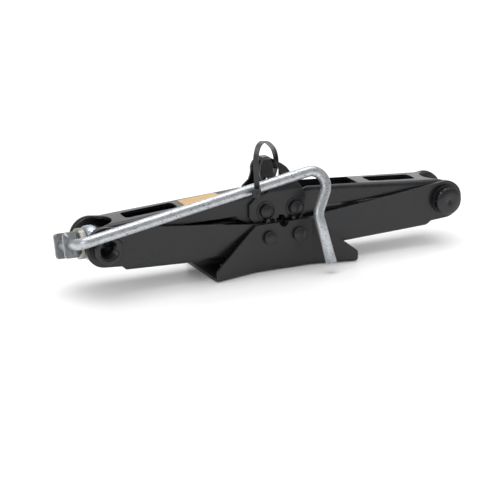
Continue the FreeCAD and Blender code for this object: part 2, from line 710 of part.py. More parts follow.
def make_thrust_cup():
    """The plated seat between the left trunnion's core and the thrust bearing."""
    body = new_body("cup_turned")
    revolve(body, "XY", "turned", [polygon(
        ("-cup_face", "bearing_radius + side_gap"), ("-cup_face", "cup_radius - cup_chamfer"),
        ("-cup_face + cup_chamfer", "cup_radius"), ("-cup_back - 2 * cup_chamfer", "cup_radius"),
        ("-cup_back", "cup_radius - cup_chamfer"), ("-cup_back", "screw_radius + side_gap"),
        ("bearing_thickness - cup_face", "screw_radius + side_gap"),
        ("bearing_thickness - cup_face", "bearing_radius + side_gap"))], "H_Axis")
    core = doc.addObject("Part::Cylinder", "cup_core_tool")
    core.Placement = Placement(Vector(0, 30, 0), Rotation(Vector(1, 0, 0), 90))
    core.setExpression("Radius", bind("trunnion_core + seat_gap"))
    core.Height = 60
    box = doc.addObject("Part::Box", "cup_flat_tool")
    box.setExpression("Placement.Base.x", bind("-core_flat - seat_gap"))
    box.Placement.Base = Vector(0, -30, -30)
    box.Length, box.Width, box.Height = 60, 60, 60
    seat = doc.addObject("Part::Common", "cup_seat_tool")
    seat.Base, seat.Tool = core, box
    cut = doc.addObject("Part::Cut", "thrust_cup")
    cut.Label = "thrust_cup"
    cut.Base, cut.Tool = body, seat
    cut.setExpression("Placement.Base.x", bind("-trunnion_x"))
    cut.setExpression("Placement.Base.z", bind("trunnion_z"))
    doc.recompute()
    return cut


def make_ring(label, start, thickness, inner, outer, edge):
    """A turned ring round the screw, to the left of the trunnion, with eased edges."""
    body = new_body(label, x="-trunnion_x", z="trunnion_z")
    stop = f"({start} + {thickness})"
    revolve(body, "XY", "turned", [polygon(
        (f"-{start}", inner), (f"-{start}", f"{outer} - {edge}"),
        (f"-{start} - {edge}", outer), (f"-{stop} + {edge}", outer),
        (f"-{stop}", f"{outer} - {edge}"), (f"-{stop}", inner))], "H_Axis")
    return body


def make_screw():
    """The lead screw, with the spigot that its yoke is riveted to."""
    body = new_body("lead_screw", x="-trunnion_x", z="trunnion_z")
    end = "(2 * trunnion_x + screw_tail)"
    tip = "-hook_x + rod_radius + side_gap"
    revolve(body, "XY", "turned", [polygon(
        (tip, "0"), (tip, "spigot_radius - spigot_chamfer"),
        (tip + " + spigot_chamfer", "spigot_radius"), ("-yoke_face - seat_gap", "spigot_radius"),
        ("-yoke_face + seat_gap", "screw_radius"), (end + " - screw_chamfer", "screw_radius"),
        (end, "screw_radius - screw_chamfer"), (end, "0"))], "H_Axis")
    return body


def make_yoke():
    """A strip folded into a fork that carries the crank's hook."""
    body = new_body("yoke", x="-trunnion_x", z="trunnion_z", axis=(1, 0, 0), angle="-yoke_roll")
    pad(body, "XZ", "blank", [polygon(
        ("-yoke_face", "-yoke_half_height"), ("-yoke_tip", "-yoke_half_height"),
        ("-yoke_tip", "yoke_half_height"), ("-yoke_face", "yoke_half_height"))], "2 * yoke_half")
    face, half = read("yoke_face"), read("yoke_half")
    blend_edges(body, "bends", "yoke_bend", lambda p, q: (
        near(p.x, -face) and near(q.x, -face) and near(p.y, q.y) and near(abs(p.y), half)))
    tip, height = read("yoke_tip"), read("yoke_half_height")
    blend_edges(body, "corners", "yoke_corner",
                any_of(along_y_at(-tip, height), along_y_at(-tip, -height)))
    inside = "(yoke_half - yoke_cheek)"
    pocket(body, "XY", "gap", [polygon(
        ("-yoke_face - yoke_plate", "-" + inside), ("-yoke_tip - 5", "-" + inside),
        ("-yoke_tip - 5", inside), ("-yoke_face - yoke_plate", inside))])
    pocket(body, "XZ", "hook_hole", [circle("-hook_x", "0", "rod_radius + run_fit")])
    pocket(body, "YZ", "spigot_hole", [circle("0", "0", "spigot_radius + press_gap")])
    return body


def bent_wire(points, radii):
    """Straight runs through the points, joined by tangent arcs."""
    edges = []
    start = points[0]
    for i in range(1, len(points) - 1):
        to_back = (points[i - 1] - points[i]).normalize()
        to_next = (points[i + 1] - points[i]).normalize()
        opening = to_back.getAngle(to_next)
        trim = radii[i - 1] / math.tan(opening / 2)
        first = points[i] + to_back * trim
        last = points[i] + to_next * trim
        bisector = (to_back + to_next).normalize()
        centre = points[i] + bisector * (radii[i - 1] / math.sin(opening / 2))
        middle = centre - bisector * radii[i - 1]
        edges.append(Part.LineSegment(start, first).toShape())
        edges.append(Part.Arc(first, middle, last).toShape())
        start = last
    edges.append(Part.LineSegment(start, points[-1]).toShape())
    return Part.Wire(edges)


def make_crank():
    """A round bar bent in two planes, so its path is set out in code from the sheet's sizes."""
    def heading(degrees):
        turn = math.radians(degrees)
        return Vector(math.cos(turn), 0, math.sin(turn))

    hook_end = Vector(0, read("yoke_half") + read("hook_past"), 0)
    corner = Vector(0, -read("hook_reach"), 0)
    top = corner + heading(read("crank_run_angle")) * read("crank_run")
    elbow = top + heading(read("elbow_angle")) * read("elbow_run")
    grip = elbow + heading(read("grip_angle")) * read("grip_run")
    path = bent_wire([hook_end, corner, top, elbow, grip],
                     [read("hook_bend"), read("elbow_bend"), read("grip_bend")])
    section = Part.Wire(Part.Circle(hook_end, Vector(0, -1, 0), read("rod_radius")).toShape())
    rod = doc.addObject("Part::Feature", "crank_handle")
    rod.Label = "crank_handle"
    rod.Shape = path.makePipeShell([section], True, False)
    rod.Placement = Placement(
        Vector(-read("trunnion_x") - read("hook_x"), 0, read("trunnion_z")),
        Rotation(Vector(1, 0, 0), -read("yoke_roll")))
    return rod


# ---------------------------------------------------------------- cable tie and sticker

def make_tie():
    """The strap that holds the crank to the saddle: a flat loop, its lock and the cut tail."""
    thickness, width = read("tie_thickness"), read("tie_width")
    top = read("saddle_pin_z") + read("crown_height")
    low = read("saddle_pin_z") + read("saddle_shoulder")
    near_strand = [(-2.2, low + 9), (-3.8, low + 17), (-6.0, low + 26), (-8.0, top + 8)]
    over = [(-2.0, top + 17), (10.0, top + 20), (31.0, top + 17), (56.0, top + 7)]
    far_strand = [(74.0, top - 5), (78.5, top - 14), (70.0, low + 7)]
    under = [(50.0, low + 5.8), (26.0, low + 5.3), (10.0, low + 2.2), (1.0, low + 3.2)]
    loop = [Vector(x, z, 0) for x, z in near_strand + over + far_strand + under]
    middle = Part.BSplineCurve()
    middle.interpolate(Points=loop, PeriodicFlag=True)
    first, last = middle.FirstParameter, middle.LastParameter
    steps = 60
    rails = {thickness / 2: [], -thickness / 2: []}
    for k in range(steps):
        at = first + (last - first) * k / steps
        across = middle.tangent(at)[0].cross(Vector(0, 0, 1))
        for shift, points in rails.items():
            points.append(middle.value(at) + across * shift)
    wires = []
    for points in rails.values():
        rail = Part.BSplineCurve()
        rail.interpolate(Points=points, PeriodicFlag=True)
        wires.append(Part.Wire(rail.toShape()))
    wires.sort(key=lambda wire: -wire.BoundBox.DiagonalLength)
    band = Part.Face(wires[0]).cut(Part.Face(wires[1]))
    strap = band.extrude(Vector(0, 0, width))
    strap.translate(Vector(0, 0, -width / 2))
    long, tall, wide = read("tie_lock_length"), read("tie_lock_height"), read("tie_lock_width")
    lock = Part.makeBox(long, tall, wide, Vector(-2.0 - long, low + 3.6, -wide / 2))
    lock = lock.makeFillet(1.0, lock.Edges)
    reach = read("tie_tail")
    tail = Part.makeBox(reach, thickness, width - 0.6,
                        Vector(-reach - 6.0, low + 7, 0.3 - width / 2))
    tie = doc.addObject("Part::Feature", "cable_tie")
    tie.Label = "cable_tie"
    shape = strap.fuse([lock, tail]).removeSplitter()
    turn = Rotation(Vector(0, 0, 1), read("tie_heading")) * Rotation(Vector(1, 0, 0), 90)
    tie.Shape = shape.Solids[0] if len(shape.Solids) == 1 else shape
    tie.Placement = Placement(Vector(read("tie_x"), read("tie_y"), 0), turn)
    return tie


def make_sticker():
    """A plain sticker on the left upper arm's web."""
    body = new_body("plain_sticker", x="-trunnion_x", z="trunnion_z",
                    angle="-asin(rise / arm_length)")
    pad(body, "XY", "sticker", [polygon(
        ("sticker_start", "-sticker_half"), ("sticker_start + sticker_length", "-sticker_half"),
        ("sticker_start + sticker_length", "sticker_half"), ("sticker_start", "sticker_half"))],
        "sticker_thickness", lift="web_top + press_gap", flip=False)
    blend_edges(body, "corners", "sticker_corner", lambda p, q: near(p.x, q.x) and near(p.y, q.y))
    return body


parts = [
    make_foot(),
    make_saddle(),
    make_lower_arm("lower_left_arm", 1),
    make_lower_arm("lower_right_arm", -1),
    make_upper_arm("upper_left_arm", 1, "arm_length - neck"),
    make_upper_arm("upper_right_arm", -1, "window_start"),
    make_pin("base_left_pin", "-pin_half", "base_pin_height", "foot_half"),
    make_pin("base_right_pin", "pin_half", "base_pin_height", "foot_half"),
    make_pin("saddle_left_pin", "-pin_half", "saddle_pin_z", "saddle_half"),
    make_pin("saddle_right_pin", "pin_half", "saddle_pin_z", "saddle_half"),
    make_trunnion("bearing_trunnion", -1, True),
    make_trunnion("nut_trunnion", 1, False),
    make_washers("bearing_trunnion_washers", -1),
    make_washers("nut_trunnion_washers", 1),
    make_thrust_cup(),
    make_ring("thrust_bearing", "(cup_face - bearing_thickness + seat_gap)",
              "(bearing_thickness - 2 * seat_gap)", "screw_radius + side_gap",
              "bearing_radius", "0.6"),
    make_ring("thrust_ring", "ring_face", "ring_thickness", "screw_radius + press_gap",
              "ring_radius", "1.2"),
    make_ring("screw_collar", "(collar_face + press_gap)", "(collar_thickness - seat_gap)",
              "screw_radius + press_gap", "collar_radius", "0.5"),
    make_screw(),
    make_yoke(),
    make_crank(),
    make_tie(),
    make_sticker(),
]

doc.recompute()
for item in doc.Objects:
    if "Invalid" in item.State or "Error" in item.State:
        raise ValueError(f"{item.Label} failed: {item.State}")
for item in parts:
    if item.Shape.isNull() or not item.Shape.isValid():
        raise ValueError(f"{item.Label} has no valid shape")

os.makedirs("parts", exist_ok=True)
for item in parts:
    item.Shape.exportStep(f"parts/{item.Label}.step")
    print(f"{item.Label}: {len(item.Shape.Solids)} solid, {item.Shape.Volume / 1000:.2f} cm3")
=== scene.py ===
"""Looks of a folded scissor car jack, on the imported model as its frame.

Metres, +Z up, +X along the lead screw towards the nut, origin under the middle of the foot.
"""

import logging
import math
from dataclasses import dataclass, field
from enum import Enum
from typing import Callable, Iterable, Sequence

import bpy
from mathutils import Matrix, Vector

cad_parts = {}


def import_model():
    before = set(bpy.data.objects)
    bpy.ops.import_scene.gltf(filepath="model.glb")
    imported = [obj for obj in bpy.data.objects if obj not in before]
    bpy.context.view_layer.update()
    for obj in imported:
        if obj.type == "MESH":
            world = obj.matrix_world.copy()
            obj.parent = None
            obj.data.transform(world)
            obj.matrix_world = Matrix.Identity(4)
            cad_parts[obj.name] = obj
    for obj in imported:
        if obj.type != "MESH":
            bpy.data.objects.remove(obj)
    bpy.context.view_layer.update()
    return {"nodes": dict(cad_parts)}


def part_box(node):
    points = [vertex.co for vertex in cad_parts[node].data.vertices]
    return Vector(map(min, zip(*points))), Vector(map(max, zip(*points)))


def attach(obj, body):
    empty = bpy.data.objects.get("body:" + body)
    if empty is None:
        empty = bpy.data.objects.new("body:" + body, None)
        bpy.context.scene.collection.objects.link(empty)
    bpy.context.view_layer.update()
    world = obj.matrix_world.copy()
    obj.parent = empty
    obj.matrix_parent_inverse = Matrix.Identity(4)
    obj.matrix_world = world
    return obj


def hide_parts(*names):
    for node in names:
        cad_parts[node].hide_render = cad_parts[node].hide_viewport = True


log = logging.getLogger("jack")

MM = 0.001
Colour = tuple[float, float, float]


# ------------------------------------------------------------------ shader node groups


class Socket(Enum):
    """The kinds of socket that the shared groups have."""

    VALUE = "NodeSocketFloat"
    COLOUR = "NodeSocketColor"
    VECTOR = "NodeSocketVector"


class GroupBuilder:
    """A shader node group with named inputs and outputs."""

    def __init__(self, name: str) -> None:
        """Starts an empty group.

        Args:
            name: the group's name.
        """
        self.tree = bpy.data.node_groups.new(name, "ShaderNodeTree")
        self.start = self.tree.nodes.new("NodeGroupInput")
        self.end = self.tree.nodes.new("NodeGroupOutput")

    def takes(self, name: str, default: float) -> None:
        """Adds a numeric input with a default.

        Args:
            name: the input's name.
            default: its value when nothing is set.
        """
        made = self.tree.interface.new_socket(name, in_out="INPUT", socket_type=Socket.VALUE.value)
        made.default_value = default

    def gives(self, name: str, kind: Socket) -> None:
        """Adds an output.

        Args:
            name: the output's name.
            kind: what it carries.
        """
        self.tree.interface.new_socket(name, in_out="OUTPUT", socket_type=kind.value)

    def node(self, kind: str, **settings: object) -> bpy.types.Node:
        """Adds a node.

        Args:
            kind: the node's type name.
            **settings: attributes to set on it.

        Returns:
            The new node.
        """
        made = self.tree.nodes.new(kind)
        for name, value in settings.items():
            setattr(made, name, value)
        return made

    def join(self, source: bpy.types.NodeSocket, target: bpy.types.NodeSocket) -> None:
        """Links two sockets."""
        self.tree.links.new(source, target)

    def spread(self, source: bpy.types.NodeSocket, low: float, high: float,
               to_low: float = 0.0, to_high: float = 1.0) -> bpy.types.NodeSocket:
        """Maps a range of values to another, clamped.

        Args:
            source: the socket that is read.
            low: the value that becomes to_low.
            high: the value that becomes to_high.
            to_low: the lower result.
            to_high: the upper result.

        Returns:
            The socket with the result.
        """
        made = self.node("ShaderNodeMapRange")
        self.join(source, made.inputs["Value"])
        made.inputs["From Min"].default_value = low
        made.inputs["From Max"].default_value = high
        made.inputs["To Min"].default_value = to_low
        made.inputs["To Max"].default_value = to_high
        return made.outputs["Result"]

    def maths(self, operation: str, first: bpy.types.NodeSocket,
              second: bpy.types.NodeSocket | float) -> bpy.types.NodeSocket:
        """Adds a maths node.

        Args:
            operation: the operation's name, such as MULTIPLY.
            first: the first operand.
            second: the second operand, a socket or a number.

        Returns:
            The socket with the result.
        """
        made = self.node("ShaderNodeMath", operation=operation)
        self.join(first, made.inputs[0])
        if isinstance(second, (int, float)):
            made.inputs[1].default_value = second
        else:
            self.join(second, made.inputs[1])
        return made.outputs[0]

    def noise(self, scale: float, detail: float = 3.0, stretch: Sequence[float] = (1, 1, 1),
              rough: float = 0.5) -> bpy.types.NodeSocket:
        """Adds noise on the piece's own coordinates.

        Args:
            scale: cycles a metre.
            detail: octaves.
            stretch: how much the pattern is squeezed along each axis.
            rough: how strong the fine octaves are.

        Returns:
            The noise's value socket.
        """
        place = self.node("ShaderNodeTexCoord")
        turn = self.node("ShaderNodeMapping")
        turn.inputs["Scale"].default_value = tuple(stretch)
        grain = self.node("ShaderNodeTexNoise")
        grain.inputs["Scale"].default_value = scale
        grain.inputs["Detail"].default_value = detail
        grain.inputs["Roughness"].default_value = rough
        self.join(place.outputs["Object"], turn.inputs["Vector"])
        self.join(turn.outputs["Vector"], grain.inputs["Vector"])
        return grain.outputs["Fac"]


def build_edge_bevel_highlight() -> bpy.types.NodeTree:
    """Painted highlight: thin pale lines along sheet edges, broken up by noise, standing in for light caught
    by the edges.

    Returns:
        The group, with a painted-highlight Mask and a softened Normal.
    """
    group = GroupBuilder("edge_bevel_highlight")
    group.takes("Width", 0.5 * MM)
    group.gives("Mask", Socket.VALUE)
    group.gives("Normal", Socket.VECTOR)
    soft = group.node("ShaderNodeBevel", samples=6)
    group.join(group.start.outputs["Width"], soft.inputs["Radius"])
    flat = group.node("ShaderNodeNewGeometry")
    dot = group.node("ShaderNodeVectorMath", operation="DOT_PRODUCT")
    group.join(soft.outputs["Normal"], dot.inputs[0])
    group.join(flat.outputs["Normal"], dot.inputs[1])
    # painted highlight mask: strongest where the bevelled normal leans away from the face's own normal,
    # along the edges
    edge = group.spread(dot.outputs["Value"], 0.985, 0.86)
    patch = group.spread(group.noise(160.0, 4.0, rough=0.6), 0.36, 0.60)
    group.join(group.maths("MULTIPLY", edge, patch), group.end.inputs["Mask"])
    group.join(soft.outputs["Normal"], group.end.inputs["Normal"])
    return group.tree


def build_paint_grain() -> bpy.types.NodeTree:
    """The fine orange peel and slow cloudiness of sprayed enamel.

    Returns:
        The group, with a Height and a Tone.
    """
    group = GroupBuilder("paint_grain")
    group.takes("Peel", 0.6)
    group.gives("Height", Socket.VALUE)
    group.gives("Tone", Socket.VALUE)
    fine = group.spread(group.noise(1500.0, 2.0), 0.3, 0.7)
    broad = group.spread(group.noise(95.0, 3.0), 0.3, 0.7)
    peel = group.maths("MULTIPLY", fine, group.start.outputs["Peel"])
    group.join(group.maths("ADD", peel, group.maths("MULTIPLY", broad, 1.4)), group.end.inputs["Height"])
    group.join(group.spread(group.noise(26.0, 4.0, rough=0.62), 0.32, 0.68), group.end.inputs["Tone"])
    return group.tree


def build_settled_dust() -> bpy.types.NodeTree:
    """Pale dust that lies on upward faces and in small specks elsewhere.

    Returns:
        The group, with a Mask.
    """
    group = GroupBuilder("settled_dust")
    group.takes("Amount", 0.2)
    group.gives("Mask", Socket.VALUE)
    shape = group.node("ShaderNodeNewGeometry")
    split = group.node("ShaderNodeSeparateXYZ")
    group.join(shape.outputs["Normal"], split.inputs["Vector"])
    upward = group.spread(split.outputs["Z"], 0.2, 1.0, 0.12, 1.0)
    cloud = group.spread(group.noise(70.0, 5.0, rough=0.65), 0.38, 0.75)
    speck = group.spread(group.noise(900.0, 1.0), 0.70, 0.76)
    mixed = group.maths("MAXIMUM", group.maths("MULTIPLY", cloud, 0.55), speck)
    lying = group.maths("MULTIPLY", mixed, upward)
    group.join(group.maths("MULTIPLY", lying, group.start.outputs["Amount"]), group.end.inputs["Mask"])
    return group.tree


def build_plating() -> bpy.types.NodeTree:
    """The crystals, drawing lines and dark specks of a zinc-plated bar.

    Returns:
        The group, with a Tone, a Pit mask and a Height.
    """
    group = GroupBuilder("plating")
    group.takes("Speck", 0.5)
    group.gives("Tone", Socket.VALUE)
    group.gives("Pit", Socket.VALUE)
    group.gives("Height", Socket.VALUE)
    cloud = group.spread(group.noise(240.0, 5.0, rough=0.7), 0.3, 0.7)
    fine = group.spread(group.noise(1100.0, 3.0, rough=0.6), 0.3, 0.7)
    tone = group.maths("ADD", group.maths("MULTIPLY", cloud, 0.6), group.maths("MULTIPLY", fine, 0.4))
    pit = group.spread(group.noise(820.0, 2.0, (0.55, 1, 1)), 0.60, 0.70)
    group.join(tone, group.end.inputs["Tone"])
    group.join(group.maths("MULTIPLY", pit, group.start.outputs["Speck"]), group.end.inputs["Pit"])
    group.join(group.maths("SUBTRACT", fine, pit), group.end.inputs["Height"])
    return group.tree


@dataclass(frozen=True)
class Groups:
    """The shared node groups, built once."""

    edge_bevel_highlight: bpy.types.NodeTree
    paint_grain: bpy.types.NodeTree
    settled_dust: bpy.types.NodeTree
    plating: bpy.types.NodeTree

    @classmethod
    def build(cls) -> "Groups":
        """Builds the four groups."""
        return cls(build_edge_bevel_highlight(), build_paint_grain(), build_settled_dust(), build_plating())


# ------------------------------------------------------------------ finishes


class MaterialBuilder:
    """One material with a Principled shader and helpers to feed it."""

    def __init__(self, name: str) -> None:
        """Starts a material.

        Args:
            name: the material's name.
        """
        self.material = bpy.data.materials.new(name)
        self.material.use_nodes = True
        self.tree = self.material.node_tree
        self.shader = self.tree.nodes["Principled BSDF"]

    def place(self, group: bpy.types.NodeTree, **values: float) -> bpy.types.Node:
        """Places a shared group.

        Args:
            group: the node group.
            **values: the group's inputs by name.

        Returns:
            The group node.
        """
        node = self.tree.nodes.new("ShaderNodeGroup")
        node.node_tree = group
        for name, value in values.items():
            node.inputs[name].default_value = value
        return node

    def mix(self, factor: bpy.types.NodeSocket, first: bpy.types.NodeSocket | Colour,
            second: Colour) -> bpy.types.NodeSocket:
        """Mixes towards a colour.

        Args:
            factor: how far to go.
            first: the colour, or its socket, at 0.
            second: the colour at 1.

        Returns:
            The mixed colour's socket.
        """
        node = self.tree.nodes.new("ShaderNodeMix")
        node.data_type = "RGBA"
        self.tree.links.new(factor, node.inputs["Factor"])
        if isinstance(first, bpy.types.NodeSocket):
            self.tree.links.new(first, node.inputs["A"])
        else:
            node.inputs["A"].default_value = (*first, 1.0)
        node.inputs["B"].default_value = (*second, 1.0)
        return node.outputs["Result"]

    def between(self, factor: bpy.types.NodeSocket, low: float, high: float) -> bpy.types.NodeSocket:
        """A number that goes from low to high as factor goes from 0 to 1."""
        node = self.tree.nodes.new("ShaderNodeMapRange")
        self.tree.links.new(factor, node.inputs["Value"])
        node.inputs["To Min"].default_value = low
        node.inputs["To Max"].default_value = high
        return node.outputs["Result"]

    def bump(self, height: bpy.types.NodeSocket, depth: float,
             normal: bpy.types.NodeSocket | None = None) -> None:
        """Feeds the shader's normal.

        Args:
            height: the height pattern.
            depth: its depth in metres.
            normal: a softened normal to start from.
        """
        node = self.tree.nodes.new("ShaderNodeBump")
        node.inputs["Strength"].default_value = 1.0
        node.inputs["Distance"].default_value = depth
        self.tree.links.new(height, node.inputs["Height"])
        if normal is not None:
            self.tree.links.new(normal, node.inputs["Normal"])
        self.feed("Normal", node.outputs["Normal"])

    def feed(self, name: str, source: bpy.types.NodeSocket) -> None:
        """Links a source to one of the shader's inputs."""
        self.tree.links.new(source, self.shader.inputs[name])

    def fix(self, **values: float) -> None:
        """Sets constants on the shader's own sockets; spaces in names are written as underscores."""
        for name, value in values.items():
            self.shader.inputs[name.replace("_", " ")].default_value = value


@dataclass(frozen=True)
class Enamel:
    """Satin black enamel on pressed sheet, with a painted highlight along its edges."""

    name: str
    dark: Colour = (0.0060, 0.0063, 0.0075)
    pale: Colour = (0.0125, 0.0130, 0.0150)
    # colour of the painted highlight along the sheet edges
    edge_highlight_colour: Colour = (0.26, 0.26, 0.27)
    dusty: Colour = (0.16, 0.16, 0.16)
    smooth: float = 0.20
    rough: float = 0.40
    specular: float = 0.50
    peel: float = 0.6
    edge: float = 0.42
    # strength of the painted edge highlight
    edge_highlight: float = 0.55
    dust: float = 0.10

    def make(self, groups: Groups) -> bpy.types.Material:
        """Builds the material.

        Args:
            groups: the shared node groups.

        Returns:
            The material.
        """
        sheet = MaterialBuilder(self.name)
        grain = sheet.place(groups.paint_grain, Peel=self.peel)
        edge_highlight = sheet.place(groups.edge_bevel_highlight, Width=self.edge * MM)
        dust = sheet.place(groups.settled_dust, Amount=self.dust)
        # painted highlight: a pale colour mixed in along the sheet edges, standing in for light that the
        # edges catch
        painted_highlight = sheet.between(edge_highlight.outputs["Mask"], 0.0, self.edge_highlight)
        colour = sheet.mix(grain.outputs["Tone"], self.dark, self.pale)
        colour = sheet.mix(dust.outputs["Mask"], colour, self.dusty)
        colour = sheet.mix(painted_highlight, colour, self.edge_highlight_colour)
        sheet.feed("Base Color", colour)
        sheet.feed("Roughness", sheet.between(grain.outputs["Tone"], self.smooth, self.rough))
        sheet.bump(grain.outputs["Height"], 0.012 * MM, edge_highlight.outputs["Normal"])
        sheet.fix(Specular_IOR_Level=self.specular)
        return sheet.material


@dataclass(frozen=True)
class Plating:
    """Zinc or steel with crystals, specks and soft gloss."""

    name: str
    dark: Colour = (0.46, 0.48, 0.50)
    pale: Colour = (0.80, 0.82, 0.84)
    pit: Colour = (0.10, 0.10, 0.11)
    smooth: float = 0.24
    rough: float = 0.42
    speck: float = 0.6
    metal: float = 0.85
    edge: float = 0.35

    def make(self, groups: Groups) -> bpy.types.Material:
        """Builds the material.

        Args:
            groups: the shared node groups.

        Returns:
            The material.
        """
        sheet = MaterialBuilder(self.name)
        skin = sheet.place(groups.plating, Speck=self.speck)
        edge_highlight = sheet.place(groups.edge_bevel_highlight, Width=self.edge * MM)
        colour = sheet.mix(skin.outputs["Tone"], self.dark, self.pale)
        colour = sheet.mix(skin.outputs["Pit"], colour, self.pit)
        sheet.feed("Base Color", colour)
        sheet.feed("Roughness", sheet.between(skin.outputs["Tone"], self.rough, self.smooth))
        sheet.bump(skin.outputs["Height"], 0.02 * MM, edge_highlight.outputs["Normal"])
        sheet.fix(Metallic=self.metal)
        return sheet.material


@dataclass(frozen=True)
class Nylon:
    """Moulded black nylon, a little paler in random patches."""

    name: str
    dark: Colour = (0.010, 0.010, 0.011)
    pale: Colour = (0.030, 0.031, 0.034)
    rough: float = 0.40

    def make(self, groups: Groups) -> bpy.types.Material:
        """Builds the material.

        Args:
            groups: the shared node groups.

        Returns:
            The material.
        """
        sheet = MaterialBuilder(self.name)
        grain = sheet.place(groups.paint_grain, Peel=0.9)
        edge_highlight = sheet.place(groups.edge_bevel_highlight, Width=0.3 * MM)
        sheet.feed("Base Color", sheet.mix(grain.outputs["Tone"], self.dark, self.pale))
        sheet.feed("Roughness", sheet.between(grain.outputs["Tone"], self.rough - 0.08, self.rough + 0.1))
        sheet.bump(grain.outputs["Height"], 0.02 * MM, edge_highlight.outputs["Normal"])
        sheet.fix(Specular_IOR_Level=0.5)
        return sheet.material


@dataclass(frozen=True)
class Sticker:
    """A plain amber sticker, faded and scuffed."""

    name: str
    dark: Colour = (0.40, 0.235, 0.062)
    pale: Colour = (0.55, 0.35, 0.115)
    scuff: Colour = (0.60, 0.50, 0.34)

    def make(self, groups: Groups) -> bpy.types.Material:
        """Builds the material.

        Args:
            groups: the shared node groups.

        Returns:
            The material.
        """
        sheet = MaterialBuilder(self.name)
        grain = sheet.place(groups.paint_grain, Peel=0.3)
        dust = sheet.place(groups.settled_dust, Amount=0.45)
        colour = sheet.mix(grain.outputs["Tone"], self.dark, self.pale)
        sheet.feed("Base Color", sheet.mix(dust.outputs["Mask"], colour, self.scuff))
        sheet.feed("Roughness", sheet.between(grain.outputs["Tone"], 0.35, 0.5))
        sheet.bump(grain.outputs["Height"], 0.01 * MM)
        return sheet.material


class Finish(Enum):
    """Each finish on the jack."""

    ARMS = Enamel("arm_enamel")
    FOOT = Enamel("foot_enamel", dark=(0.0085, 0.0080, 0.0078), pale=(0.0175, 0.0168, 0.0162),
                  smooth=0.34, rough=0.52, dust=0.16)
    SADDLE = Enamel("saddle_enamel", smooth=0.24, rough=0.40, edge_highlight=0.7)
    PINS = Enamel("pin_enamel", smooth=0.30, rough=0.46, edge_highlight=0.35, edge=0.5)
    TRUNNIONS = Enamel("trunnion_enamel", smooth=0.18, rough=0.34, edge_highlight=0.5, peel=1.0)
    WASHERS = Enamel("washer_enamel", smooth=0.30, rough=0.45, edge_highlight=0.4)
    ROD = Plating("rod_zinc", dark=(0.36, 0.38, 0.40), pale=(0.70, 0.72, 0.74), speck=1.0, smooth=0.27)
    CUP = Plating("cup_zinc", dark=(0.38, 0.43, 0.50), pale=(0.70, 0.76, 0.84), speck=0.3)
    RING = Plating("ring_passivate", dark=(0.34, 0.325, 0.285), pale=(0.52, 0.50, 0.45), speck=0.35,
                   smooth=0.30, rough=0.48)
    YOKE = Plating("yoke_zinc", dark=(0.24, 0.25, 0.26), pale=(0.46, 0.48, 0.49), speck=0.5,
                   smooth=0.34, rough=0.52)
    BEARING = Plating("bearing_steel", dark=(0.55, 0.55, 0.55), pale=(0.75, 0.75, 0.75), speck=0.1,
                      smooth=0.12, rough=0.22, metal=1.0)
    COLLAR = Plating("collar_steel", dark=(0.36, 0.36, 0.36), pale=(0.60, 0.60, 0.60), speck=0.3)
    THREAD = Plating("thread_steel", dark=(0.022, 0.022, 0.023), pale=(0.07, 0.07, 0.07), speck=0.5,
                     smooth=0.26, rough=0.44, metal=0.95)
    TIE = Nylon("tie_nylon")
    STICKER = Sticker("sticker_vinyl")


class Paintbox:
    """Makes each finish's material once and hands it out."""

    def __init__(self) -> None:
        """Builds the shared groups."""
        self.groups = Groups.build()
        self.made: dict[Finish, bpy.types.Material] = {}

    def material(self, finish: Finish) -> bpy.types.Material:
        """The material of a finish.

        Args:
            finish: which one.

        Returns:
            The material, the same one each time.
        """
        if finish not in self.made:
            self.made[finish] = finish.value.make(self.groups)
        return self.made[finish]

    def dress(self, piece: bpy.types.Object, finish: Finish) -> None:
        """Puts one finish all over a piece.

        Args:
            piece: a CAD node or a new piece.
            finish: its finish.
        """
        if not piece.material_slots:
            piece.data.materials.append(None)
        for slot in piece.material_slots:
            slot.material = self.material(finish)


# ------------------------------------------------------------------ modelling by operators


